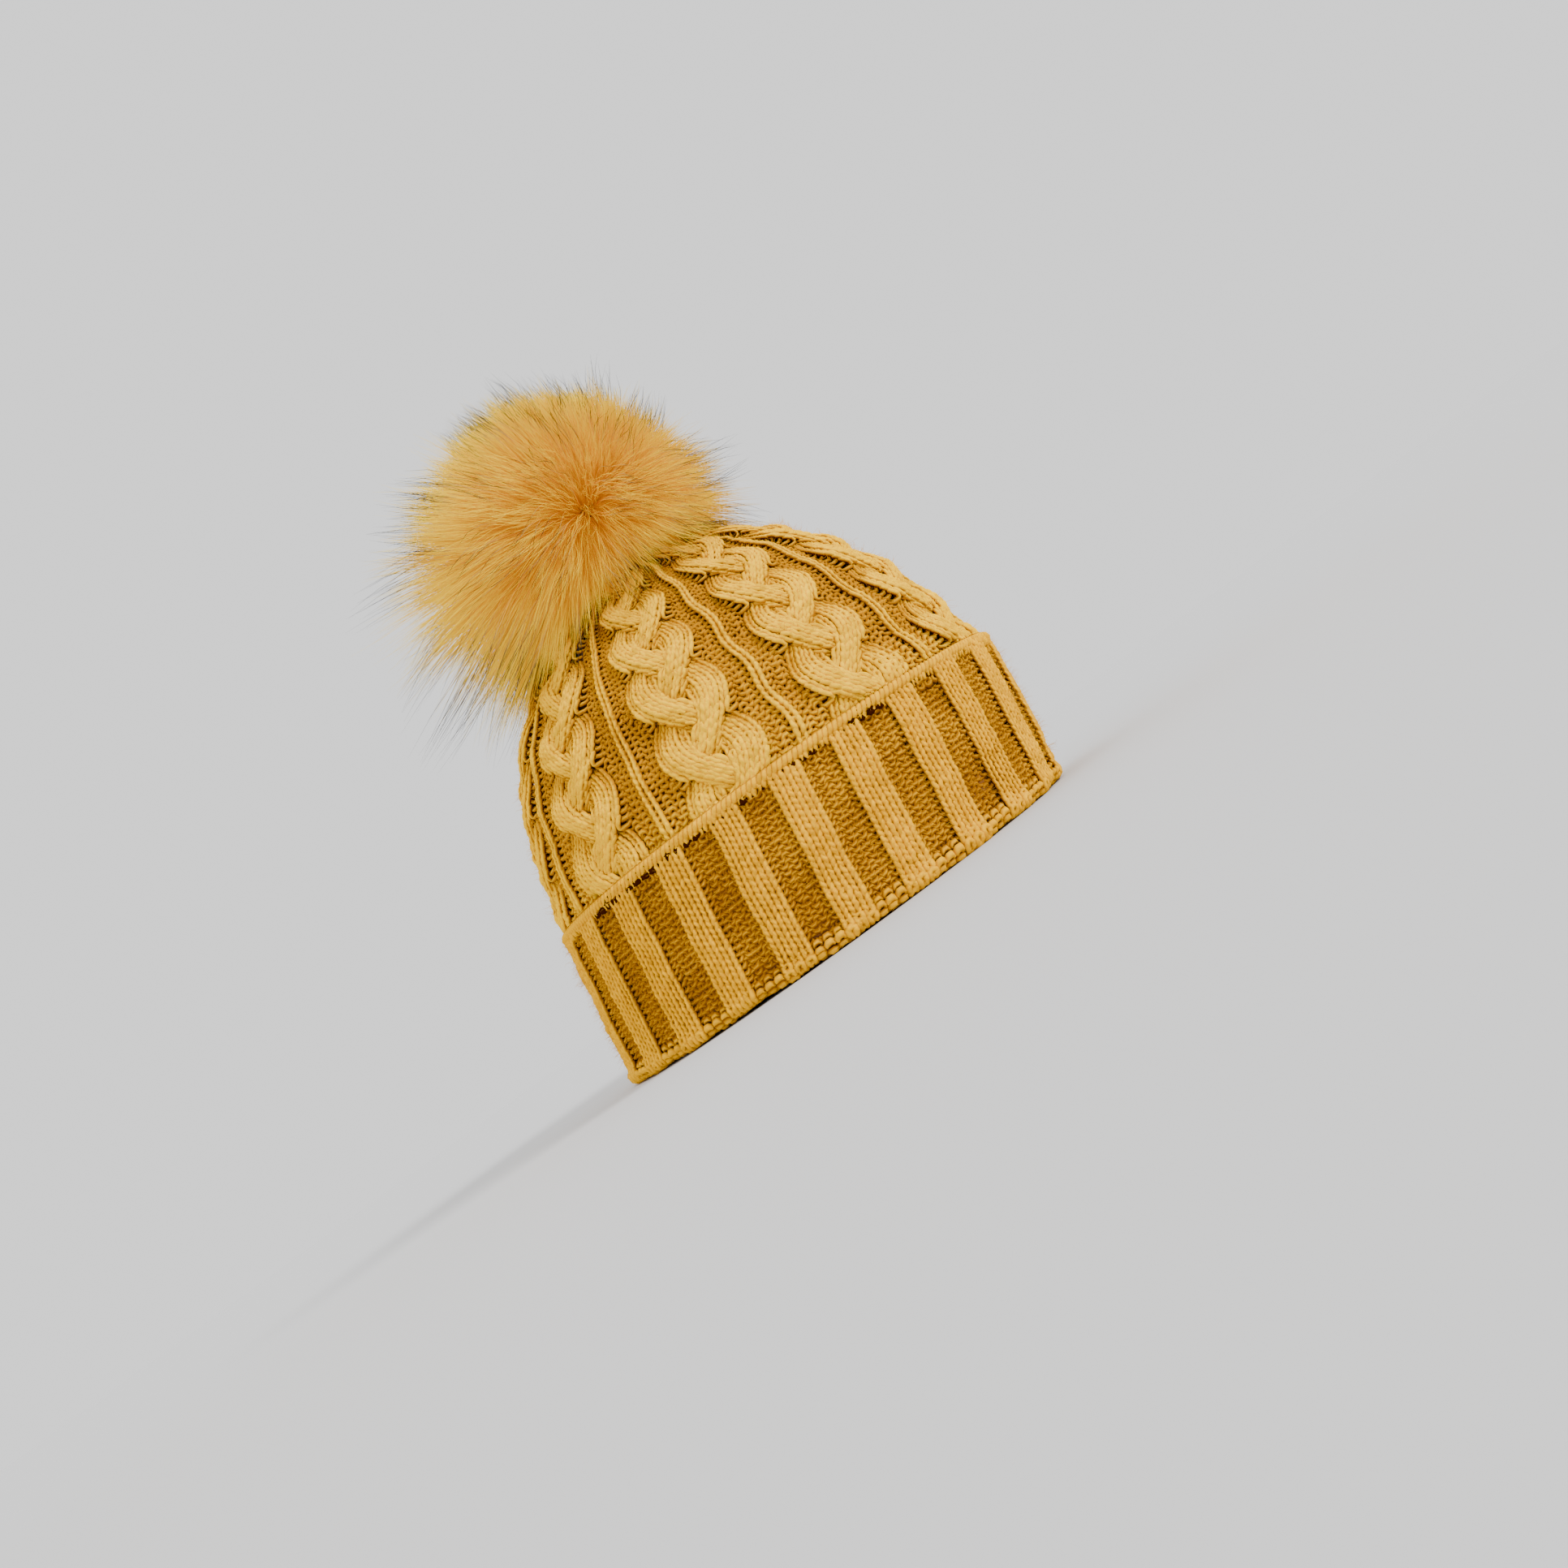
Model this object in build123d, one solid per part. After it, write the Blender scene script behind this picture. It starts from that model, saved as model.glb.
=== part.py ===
from build123d import *
import os
from math import hypot

# A cable-knit beanie with a turned-up ribbed cuff and a fur pompom on a press stud.
# Millimetres, +Z up along the hat's axis. The front of the hat is at -Y, and its right side at -X.
# The origin is on the surface that the hat stands on, below the middle of its outline.

# Driving dimensions
cuff_length = 224.0  # front to back, over the outside
cuff_width = 186.0  # side to side, over the outside
cuff_height = 68.0
cuff_lean = 10.0  # how far the cuff's top stands forward of its bottom
knit_thickness = 4.0
cable_thickness = 5.0
fold_gap = 0.4  # between the cuff and the band that it is turned up against
knit_height = 185.5  # rim to the gathered top
top_opening_radius = 16.0  # of the crown, where the gathered top closes it
top_clearance = 1.2
tail_length = 22.0
fur_width = 156.0
fur_half_height = 52.0
fur_centre_above_top = 40.5
fur_underside_above_top = 8.5
pelt_radius = 30.0
pelt_half_height = 27.0
pelt_thickness = 1.5
post_radius = 1.5
stud_head_radius = 2.9

# Sizes that follow from them
side_ratio = cuff_width / cuff_length  # the whole hat is an oval of this shape
cuff_outer = (cuff_width / 2, cuff_length / 2)
cuff_inner = (cuff_outer[0] - knit_thickness, cuff_outer[1] - knit_thickness)
band_outer = (cuff_inner[0] - fold_gap, cuff_inner[1] - fold_gap)
band_inner = (band_outer[0] - knit_thickness, band_outer[1] - knit_thickness)
crown_y = -cuff_lean / 2  # the crown's axis
crown_axis = Location((0, crown_y, 0))
top_z = knit_height

os.makedirs("parts", exist_ok=True)


def save(solid, name):
    """Write one sub-part to its own file."""
    solid.label = name
    export_step(solid, f"parts/{name}.step")


def lean_y(z):
    """The middle of the leaning cuff at a height."""
    return cuff_lean * (0.5 - z / cuff_height)


def leaning_oval(radii, z_low, z_high):
    """An upright oval post whose middle follows the cuff's lean."""
    base = Plane.XY.offset(z_low) * Pos(0, lean_y(z_low)) * Ellipse(*radii)
    rise = z_high - z_low
    shift = lean_y(z_high) - lean_y(z_low)
    return extrude(base, amount=hypot(rise, shift), dir=Vector(0, shift, rise).normalized())


def leaning_tube(outer, inner, z_low, z_high):
    """A leaning oval wall."""
    return leaning_oval(outer, z_low, z_high) - leaning_oval(inner, z_low, z_high)


def turned(*outline):
    """A solid of revolution about the crown's axis, from (radius, height) corners."""
    face = Plane.XZ * make_face(Polyline(*outline, close=True))
    return crown_axis * revolve(face, Axis.Z)


def disc(radius, z_low, z_high, hole=0.0):
    """A round plate on the crown's axis, with or without a hole."""
    return turned((hole, z_low), (radius, z_low), (radius, z_high), (hole, z_high))


def ring(radius, wire_radius, z, arc=360, start=0):
    """A ring of round wire on the crown's axis, or an arc of one that starts so far round from +X."""
    section = Plane.XZ * Pos(radius, z) * Circle(wire_radius)
    return crown_axis * Rot(0, 0, start) * revolve(section, Axis.Z, revolution_arc=arc)


def ball(radius, half_height, z):
    """A round body that is flatter or taller than a sphere, on the crown's axis."""
    round_ball = scale(Sphere(radius), by=(1, 1, half_height / radius))
    return crown_axis * Pos(0, 0, z) * round_ball


# The knitted tube: crown, band and cuff


def crown_shell():
    """The cable-knit dome, from the cuff's top edge to the opening that the gathered top closes."""
    inner_start = (band_inner[1], cuff_height)
    outer_start = (band_outer[1], cuff_height)
    outer_top = (top_opening_radius, top_z)
    inner_top = (top_opening_radius, top_z - cable_thickness)
    outside = Spline(
        outer_start,
        (100.0, 107.0),
        (88.5, 132.0),
        (68.0, 156.5),
        (38.0, 178.5),
        outer_top,
        tangents=[(0, 1), (-1, 0.06)],
    )
    inside = Spline(
        inner_start,
        (95.2, 106.0),
        (84.2, 129.0),
        (64.6, 152.5),
        (36.6, 173.5),
        inner_top,
        tangents=[(0, 1), (-1, 0.06)],
    )
    outline = outside + Line(outer_top, inner_top) + inside + Line(inner_start, outer_start)
    round_crown = revolve(Plane.XZ * make_face(outline), Axis.Z)
    return crown_axis * scale(round_crown, by=(side_ratio, 1, 1))


def inner_band():
    """The part of the tube that hangs inside the cuff."""
    return leaning_tube(band_outer, band_inner, knit_thickness + fold_gap, cuff_height)


def cuff():
    """The ribbed brim: its wall, and the fold that passes under the band's lower edge."""
    wall = leaning_tube(cuff_outer, cuff_inner, 0, cuff_height)
    fold = leaning_tube(cuff_outer, band_inner, 0, knit_thickness)
    return wall + fold


def back_seam_yarn():
    """The yarn that closes the tube at the back, on the band's inside."""
    seam_radius = 1.0
    low, high = 8.0, cuff_height - 2
    inset = band_inner[1] - seam_radius - 0.05
    start = Vector(0, lean_y(low) + inset, low)
    end = Vector(0, lean_y(high) + inset, high)
    along = end - start
    return extrude(Plane(start, z_dir=along) * Circle(seam_radius), amount=along.length)


# The gathered top, and what holds it together

top_underside = top_z - cable_thickness - 0.2
gather_radius = 10.8
gather_yarn_radius = 0.9
gather_z = top_underside - gather_yarn_radius
knot_radius = 1.9
knot_centre = (0, crown_y + gather_radius + 0.4, gather_z - 1.0)
knot_half_angle = 10.5  # that the knot takes up in the loop of gathering yarn


def gathered_top():
    """The last stitches, drawn together into a thick oval button of knit."""
    radii = (
        top_opening_radius * side_ratio - top_clearance,
        top_opening_radius - top_clearance,
    )
    button = extrude(Plane.XY.offset(top_underside) * Ellipse(*radii), amount=top_z - top_underside)
    return crown_axis * button - disc(post_radius + 0.1, top_underside, top_z)


def gather_knot():
    """The knot in the gathering yarn."""
    return Pos(*knot_centre) * Sphere(knot_radius)


def gather_yarn():
    """The loop of yarn drawn tight under the button, from one side of its knot to the other."""
    arc = 360 - 2 * knot_half_angle
    return ring(gather_radius, gather_yarn_radius, gather_z, arc, start=90 + knot_half_angle)


def yarn_tail():
    """The cut end of the gathering yarn, hanging from the knot inside the crown."""
    tail = Pos(*knot_centre) * Pos(0, 0, -knot_radius) * Cylinder(
        gather_yarn_radius, tail_length, align=(Align.CENTER, Align.CENTER, Align.MAX)
    )
    return tail - gather_knot()


# The press stud: washer, cap and stud on the hat, ring, socket and rivet on the pompom

washer_thickness = 1.5
cap_thickness = 1.0
stud_base = 1.0
stud_neck_radius = 2.3
stud_neck_top = top_z + 2.8
stud_top = top_z + 5.1
post_top = top_z + 4.1
socket_radius = 6.5
socket_low = top_z + 1.8
socket_roof = top_z + 5.9
socket_high = top_z + 6.8
bore_radius = stud_head_radius + 0.35
ring_wire = 0.5
ring_radius = stud_head_radius + 0.3 + ring_wire
ring_z = top_z + 3.6
groove_radius = ring_radius + ring_wire + 0.1
groove_half = ring_wire + 0.1
rivet_radius = 1.4
patch_thickness = 2.0
patch_high = socket_high + patch_thickness


def felt_washer():
    """The felt disc that spreads the stud's pull over the knit."""
    washer_radius = gather_radius - knot_radius - 0.1
    return disc(washer_radius, top_underside - washer_thickness, top_underside, post_radius + 0.1)


def snap_cap():
    """The metal cap inside the crown, with the post that the stud is pressed onto."""
    cap_high = top_underside - washer_thickness
    cap_low = cap_high - cap_thickness
    return turned(
        (0, cap_low),
        (6.4, cap_low),
        (7.0, cap_low + 0.4),
        (7.0, cap_high),
        (post_radius, cap_high),
        (post_radius, post_top),
        (0, post_top),
    )


def snap_stud():
    """The male half of the press stud: a flange, a neck and a rounded head."""
    bore = post_radius + 0.02
    return turned(
        (bore, top_z),
        (socket_radius, top_z),
        (socket_radius, top_z + stud_base),
        (stud_neck_radius, top_z + stud_base),
        (stud_neck_radius, stud_neck_top),
        (stud_head_radius, stud_neck_top + 0.6),
        (stud_head_radius, stud_top - 0.9),
        (stud_neck_radius, stud_top - 0.2),
        (1.4, stud_top),
        (0, stud_top),
        (0, post_top + 0.02),
        (bore, post_top + 0.02),
    )


def snap_spring_ring():
    """The split wire ring in the socket's groove."""
    return ring(ring_radius, ring_wire, ring_z, arc=335)


def snap_socket():
    """The female half: a cup with a groove for the spring ring, and a roof for the rivet."""
    return turned(
        (bore_radius, socket_low),
        (socket_radius - 0.5, socket_low),
        (socket_radius, socket_low + 0.5),
        (socket_radius, socket_high),
        (rivet_radius + 0.02, socket_high),
        (rivet_radius + 0.02, socket_roof),
        (bore_radius, socket_roof),
        (bore_radius, ring_z + groove_half),
        (groove_radius, ring_z + groove_half),
        (groove_radius, ring_z - groove_half),
        (bore_radius, ring_z - groove_half),
    )


def socket_rivet():
    """The rivet through the base patch, which holds the socket."""
    head_high = patch_high + 1.0
    return turned(
        (0, socket_roof),
        (rivet_radius, socket_roof),
        (rivet_radius, patch_high),
        (6.0, patch_high),
        (6.0, head_high - 0.4),
        (5.4, head_high),
        (0, head_high),
    )


# The pompom

pelt_centre = patch_high + pelt_half_height + 0.7
mouth_radius = 9.0
thread_radius = 0.5
fur_neck_radius = 20.0


def pompom_base_patch():
    """The round patch that the socket is riveted to."""
    return disc(15.0, socket_high, patch_high, rivet_radius + 0.1)


def mouth_plug():
    """The space of the pelt's mouth."""
    return disc(mouth_radius, patch_high - 5, pelt_centre - 15)


def pompom_pelt():
    """The fur's backing, gathered into a hollow ball with a mouth below."""
    outside = ball(pelt_radius, pelt_half_height, pelt_centre)
    inside = ball(pelt_radius - pelt_thickness, pelt_half_height - pelt_thickness, pelt_centre)
    return outside - inside - mouth_plug()


def pompom_stuffing():
    """The fibre filling inside the pelt."""
    slack = pelt_thickness + 0.4
    return ball(pelt_radius - slack, pelt_half_height - slack, pelt_centre)


def pompom_gather_thread():
    """The thread that draws the pelt's mouth together."""
    return ring(mouth_radius - thread_radius - 0.1, thread_radius, patch_high + 2.9)


def pompom_fur():
    """The pile's outer form, open underneath for the base patch and hollow for the pelt."""
    pile = ball(fur_width / 2, fur_half_height, top_z + fur_centre_above_top)
    underside = top_z + fur_underside_above_top
    below = disc(fur_width, underside - 2 * fur_half_height, underside)
    neck = disc(fur_neck_radius, underside - 1, pelt_centre)
    core = ball(pelt_radius + 0.2, pelt_half_height + 0.2, pelt_centre)
    return pile - below - neck - core


sub_parts = (
    crown_shell,
    inner_band,
    cuff,
    back_seam_yarn,
    gathered_top,
    gather_yarn,
    gather_knot,
    yarn_tail,
    felt_washer,
    snap_cap,
    snap_stud,
    snap_spring_ring,
    snap_socket,
    socket_rivet,
    pompom_base_patch,
    pompom_pelt,
    pompom_stuffing,
    pompom_gather_thread,
    pompom_fur,
)

for make in sub_parts:
    save(make(), make.__name__)
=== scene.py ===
import math

import bpy
import numpy as np
from mathutils import Matrix, Vector


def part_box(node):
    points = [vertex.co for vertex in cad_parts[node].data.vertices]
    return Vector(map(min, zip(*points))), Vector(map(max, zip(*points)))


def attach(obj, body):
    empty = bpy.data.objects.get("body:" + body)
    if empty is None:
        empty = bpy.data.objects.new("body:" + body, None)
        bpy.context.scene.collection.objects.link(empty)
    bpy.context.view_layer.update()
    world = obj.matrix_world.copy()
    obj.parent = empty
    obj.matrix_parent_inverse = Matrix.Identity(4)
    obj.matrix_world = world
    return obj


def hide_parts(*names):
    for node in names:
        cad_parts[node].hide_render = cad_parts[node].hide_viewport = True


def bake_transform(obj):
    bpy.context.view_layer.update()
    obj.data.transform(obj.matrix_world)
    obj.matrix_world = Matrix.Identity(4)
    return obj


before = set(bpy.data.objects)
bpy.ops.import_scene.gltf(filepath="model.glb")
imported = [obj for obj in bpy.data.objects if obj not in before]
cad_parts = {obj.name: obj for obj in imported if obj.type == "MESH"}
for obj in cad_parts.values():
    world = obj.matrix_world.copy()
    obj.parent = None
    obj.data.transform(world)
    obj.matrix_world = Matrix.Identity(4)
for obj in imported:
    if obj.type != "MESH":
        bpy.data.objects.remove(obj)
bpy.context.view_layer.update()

random = np.random.default_rng(7)
TURN = 2 * math.pi
MM = 0.001

# ---------------------------------------------------------------- sizes, read from the frame

cuff_low, cuff_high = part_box("cuff")
crown_low, crown_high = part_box("crown_shell")
fur_low, fur_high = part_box("pompom_fur")
pelt_low, pelt_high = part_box("pompom_pelt")

cuff_top = cuff_high[2]
knit_top = crown_high[2]
crown_y = (crown_low[1] + crown_high[1]) / 2
lean = -2 * crown_y  # how far the cuff's top stands forward of its bottom
cuff_side = (cuff_high[0] - cuff_low[0]) / 2
cuff_front = (cuff_high[1] - cuff_low[1] - lean) / 2
side_ratio = cuff_side / cuff_front
band_front = (crown_high[1] - crown_low[1]) / 2

# ---------------------------------------------------------------- camera

SEEN_FROM = 0.50  # distance of the lens from the hat's axis
EYE_HEIGHT = 0.025
AIM = Vector((0.0, crown_y - 0.0036, 0.067))
TILT = math.radians(35.9)  # how far the hat leans in the picture
FRAME_PIXELS = 1932
FOCAL_PIXELS = 1414

camera_data = bpy.data.cameras.new("camera")
camera_data.sensor_width = 36.0
camera_data.lens = 36.0 * FOCAL_PIXELS / FRAME_PIXELS
camera_data.clip_start = 0.01
camera = bpy.data.objects.new("camera", camera_data)
bpy.context.collection.objects.link(camera)
camera.location = (-SEEN_FROM, AIM.y, EYE_HEIGHT)
forward = (AIM - camera.location).normalized()
level_right = forward.cross(Vector((0, 0, 1))).normalized()
level_up = level_right.cross(forward)
up = level_up * math.cos(TILT) + level_right * math.sin(TILT)
right = forward.cross(up)
facing = Matrix((right, up, -forward)).transposed().to_4x4()
camera.matrix_world = Matrix.Translation(camera.location) @ facing
bpy.context.scene.camera = camera

# ---------------------------------------------------------------- the hat's surface


def smooth_curve(points, steps=24):
    """A curve through points, as many closely spaced points (Catmull-Rom)."""
    p = np.array(points, float)
    p = np.vstack([2 * p[0] - p[1], p, 2 * p[-1] - p[-2]])
    t = np.linspace(0, 1, steps, endpoint=False)[:, None]
    spans = []
    for a, b, c, d in zip(p[:-3], p[1:-2], p[2:-1], p[3:]):
        spans.append(
            0.5 * (2 * b + (c - a) * t + (2 * a - 5 * b + 4 * c - d) * t**2 + (3 * b - a - 3 * c + d) * t**3)
        )
    return np.vstack(spans + [p[-2][None]])


class Profile:
    """A section of the hat in its front-to-back plane: front radius and height along its length."""

    def __init__(self, points):
        self.curve = smooth_curve(points)
        steps = np.linalg.norm(np.diff(self.curve, axis=0), axis=1)
        self.along = np.concatenate([[0], np.cumsum(steps)])
        self.length = self.along[-1]

    def at(self, v):
        """Radius, height and outward normal at distances along the profile."""
        v = np.clip(v, 0, self.length)
        step = 0.3 * MM
        radius = np.interp(v, self.along, self.curve[:, 0])
        height = np.interp(v, self.along, self.curve[:, 1])
        after = np.clip(v + step, 0, self.length)
        before = np.clip(v - step, 0, self.length)
        along_r, along_z = (
            np.interp(after, self.along, line) - np.interp(before, self.along, line) for line in self.curve.T
        )
        size = np.hypot(along_r, along_z) + 1e-9
        return radius, height, along_z / size, -along_r / size


oval_angles = np.linspace(0, TURN, 1441)
oval_steps = np.hypot(
    np.diff(side_ratio * np.sin(oval_angles)),
    np.diff(np.cos(oval_angles)),
)
oval_along = np.concatenate([[0], np.cumsum(oval_steps)])
oval_girth = oval_along[-1]  # of an oval whose front radius is 1


def place(profile, share, v, depth):
    """Points and outward normals at shares of the way round, from the back by the right side."""
    radius, height, out, rise = profile.at(v)
    angle = np.interp(np.mod(share, 1.0) * oval_girth, oval_along, oval_angles)
    side, front = np.sin(angle), np.cos(angle)
    normal_x, normal_y = side, side_ratio * front
    size = np.hypot(normal_x, normal_y)
    normal_x, normal_y = normal_x / size, normal_y / size
    middle = np.where(height < cuff_top, lean * (0.5 - height / cuff_top), crown_y)
    x = -(side_ratio * radius * side + depth * out * normal_x)
    y = middle + radius * front + depth * out * normal_y
    z = height + depth * rise
    points = np.stack([x, y, z], -1)
    normals = np.stack([-normal_x * out, normal_y * out, rise + 0 * x], -1)
    return points, normals


# ---------------------------------------------------------------- meshes

BAKE_MAP = "OFBake"
PAINTED_FLANK_SHADE = 0.55  # painted shade: how much darker a yarn's flanks are coloured than its crest
TWIST_MAP = "twist"
SHADOW = 1.5 * MM  # painted shadow: how much deeper yarn is coloured where it passes behind a loop
RESTS_ON = np.array([-np.inf, -np.inf, 0.0])  # yarn is pressed flat where the rim stands


def make_mesh(name, points, faces, bake_uv, twist_uv=None):
    """A piece from numpy arrays: quads, or triangles, with a place in the maps for each corner."""
    corners = faces.shape[1]
    points = np.maximum(points, RESTS_ON)
    mesh = bpy.data.meshes.new(name)
    mesh.vertices.add(len(points))
    mesh.vertices.foreach_set("co", points.astype(np.float32).ravel())
    mesh.loops.add(faces.size)
    mesh.loops.foreach_set("vertex_index", faces.astype(np.int32).ravel())
    mesh.polygons.add(len(faces))
    mesh.polygons.foreach_set("loop_start", np.arange(0, faces.size, corners, dtype=np.int32))
    for map_name, uv in ((BAKE_MAP, bake_uv), (TWIST_MAP, twist_uv)):
        if uv is not None:
            layer = mesh.uv_layers.new(name=map_name)
            layer.data.foreach_set("uv", uv.astype(np.float32).ravel())
    mesh.update(calc_edges=True)
    mesh.polygons.foreach_set("use_smooth", np.ones(len(faces), dtype=bool))
    piece = bpy.data.objects.new(name, mesh)
    bpy.context.collection.objects.link(piece)
    return piece


def yarn_tubes(name, path, normal, radius, tone, depth, sides=5, ply_pitch=3.2 * MM):
    """Closed loops of yarn. Each array holds one row for each loop of yarn and a column for each point."""
    loops, count = path.shape[:2]
    tangent = np.roll(path, -1, 1) - np.roll(path, 1, 1)
    run = np.linalg.norm(np.roll(path, -1, 1) - path, axis=2)
    tangent /= np.linalg.norm(tangent, axis=2, keepdims=True) + 1e-12
    across = np.cross(tangent, normal)
    across /= np.linalg.norm(across, axis=2, keepdims=True) + 1e-12
    outward = np.cross(across, tangent)
    turn = TURN * np.arange(sides) / sides
    cosine, sine = np.cos(turn)[:, None], np.sin(turn)[:, None]
    ring = cosine * outward[:, :, None] + sine * across[:, :, None]
    points = path[:, :, None] + radius[:, :, None, None] * ring
    index = np.arange(loops * count * sides).reshape(loops, count, sides)
    ahead = np.roll(index, -1, 1)
    faces = np.stack([index, np.roll(index, -1, 2), np.roll(ahead, -1, 2), ahead], -1).reshape(-1, 4)
    side_a = np.broadcast_to(np.arange(sides) / sides, index.shape)
    side_b = side_a + 1 / sides
    along_a = np.cumsum(run, axis=1) / ply_pitch
    along_b = along_a + run / ply_pitch
    along_a = np.broadcast_to(along_a[:, :, None], index.shape)
    along_b = np.broadcast_to(along_b[:, :, None], index.shape)
    twist = np.stack(
        [
            np.stack([along_a, side_a], -1),
            np.stack([along_a, side_b], -1),
            np.stack([along_b, side_b], -1),
            np.stack([along_b, side_a], -1),
        ],
        -2,
    ).reshape(-1, 2)
    # painted shade: each tube's colour is looked up from the yarn's depth plus a crest-to-flank term, so its
    # flanks and back are coloured darker
    height = depth[:, :, None] + PAINTED_FLANK_SHADE * np.cos(turn)[None, None]
    tones = np.broadcast_to(tone[:, :, None], height.shape)
    bake = np.stack([tones, np.clip(height, 0.02, 0.98)], -1).reshape(-1, 2)
    return make_mesh(name, points.reshape(-1, 3), faces, bake[faces.ravel()], twist)


LOOP_REACH = 0.95  # how far a loop reaches into the next row, in rows
LOOP_SWING = 0.21  # how far its sides bow, in stitches
LOOP_DEPTH = 0.5  # how far it weaves in and out, in yarn radii


def knit(profile, v_rows, centres, relief, face, width, radius, slope, steps=12):
    """Courses of knit loops. Rows by stitches arrays say where each loop's middle is (centres, as
    shares of the way round), how far it stands out (relief) and whether it faces out (face 1) or in
    (face -1). Returns the yarn's path, its normals, radius, a depth for its painted shade (its real
    depth less a painted shadow where it passes behind a loop), and a tone for each stitch."""
    rows, stitches = centres.shape
    phase = TURN * (np.arange(steps) + 0.5) / steps - math.pi
    pitch = np.gradient(v_rows)
    following = np.roll(centres, -1, 1)
    following[:, -1] += 1
    preceding = np.roll(centres, 1, 1)
    preceding[:, 0] -= 1
    ahead = (following - centres) / 2
    behind = (centres - preceding) / 2
    side = np.abs(phase) / math.pi
    blend = 0.5 * np.clip((side - 0.45) / 0.55, 0, 1) ** 2

    def between(values):
        """A stitch's own value at its middle, drawing near its neighbour's at its edge."""
        after, before = np.roll(values, -1, 1)[:, :, None], np.roll(values, 1, 1)[:, :, None]
        beside = np.where(phase > 0, after, before)
        return values[:, :, None] * (1 - blend) + beside * blend

    share = centres[:, :, None] + np.where(phase > 0, ahead[:, :, None], behind[:, :, None]) * phase / math.pi
    share = share + LOOP_SWING * width[:, :, None] * np.sin(2 * phase)
    jitter = random.normal(0, 0.05, (rows, stitches))
    lift = LOOP_REACH * pitch[:, None, None] * np.cos(phase) * (1 + jitter[:, :, None])
    share = share + slope[:, :, None] * lift
    shift = 0.06 * pitch[:, None] * random.normal(0, 1, (rows, stitches))
    v = v_rows[:, None, None] + lift + shift[:, :, None]
    stand = between(relief) + 0.12 * MM * random.normal(0, 1, (rows, stitches))[:, :, None]
    weave = -between(face) * np.cos(2 * phase) * LOOP_DEPTH * radius[:, :, None]
    depth = stand + weave
    path, normal = place(profile, share, v, depth)
    # painted shadow: the depth that colours the yarn is lowered where it passes behind a loop
    depth = depth - SHADOW * (0.5 + 0.5 * between(face) * np.cos(2 * phase))
    thickness = between(radius) * (1 + 0.06 * random.normal(0, 1, (rows, stitches))[:, :, None])
    tone = np.repeat(np.clip(0.5 + 0.17 * random.normal(0, 1, (rows, stitches)), 0.02, 0.98), steps, axis=1)
    flat = (rows, stitches * steps)
    thickness, depth = thickness.reshape(flat), depth.reshape(flat)
    return path.reshape(*flat, 3), normal.reshape(*flat, 3), thickness, depth, tone


def in_rows(name, courses, material, body, low, high, rows_each, sides=5):
    """Turns courses of knit into pieces of so many rows each, and returns the pieces."""
    path, normal, thickness, depth, tone = courses
    # painted shade: deeper yarn is given a darker colour
    shade = np.clip((depth - low) / (high - low), 0, 1) * 0.56 + 0.02
    pieces = []
    for first in range(0, len(path), rows_each):
        part = slice(first, first + rows_each)
        piece_name = f"{name}_{len(pieces) + 1}"
        arrays = (array[part] for array in (path, normal, thickness, tone, shade))
        piece = yarn_tubes(piece_name, *arrays, sides)
        piece.data.materials.append(material)
        if body:
            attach(piece, body)
        pieces.append(piece)
    return pieces


# ---------------------------------------------------------------- materials


def new_material(name, roughness, sheen=0.0, sheen_tint=(1, 1, 1, 1), specular=0.3, metallic=0.0):
    """A material and its shader, with its even values set on the shader itself."""
    material = bpy.data.materials.new(name)
    material.use_nodes = True
    shader = material.node_tree.nodes["Principled BSDF"]
    shader.inputs["Roughness"].default_value = roughness
    shader.inputs["Sheen Weight"].default_value = sheen
    shader.inputs["Sheen Tint"].default_value = sheen_tint
    shader.inputs["Specular IOR Level"].default_value = specular
    shader.inputs["Metallic"].default_value = metallic
    return material, material.node_tree.nodes, material.node_tree.links, shader


def even_material(name, colour, specular):
    """A matt material of one colour."""
    material, *_, shader = new_material(name, 1.0, specular=specular)
    shader.inputs["Base Color"].default_value = (*colour, 1)
    return material


def ramp(nodes, stops, smooth=True):
    """A colour ramp with (place, colour) stops."""
    node = nodes.new("ShaderNodeValToRGB")
    node.color_ramp.interpolation = "EASE" if smooth else "LINEAR"
    elements = node.color_ramp.elements
    while len(elements) < len(stops):
        elements.new(0.5)
    for element, (position, colour) in zip(elements, stops):
        element.position = position
        element.color = (*colour, 1)
    return node


def add_bump(nodes, links, shader, height, distance, strength=1.0):
    """Bump from a height, in metres of depth."""
    bump = nodes.new("ShaderNodeBump")
    bump.inputs["Strength"].default_value = strength
    bump.inputs["Distance"].default_value = distance
    links.new(height, bump.inputs["Height"])
    links.new(bump.outputs["Normal"], shader.inputs["Normal"])


def mixed(nodes, links, kind, factor, a, b):
    """A colour mix node; a and b are sockets or colours, factor a socket or a number."""
    node = nodes.new("ShaderNodeMix")
    node.data_type = "RGBA"
    node.blend_type = kind
    for socket, value in ((node.inputs["Factor"], factor), (node.inputs["A"], a), (node.inputs["B"], b)):
        if isinstance(value, bpy.types.NodeSocket):
            links.new(value, socket)
        elif isinstance(value, tuple):
            socket.default_value = (*value, 1)
        else:
            socket.default_value = value
    return node.outputs["Result"]


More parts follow.
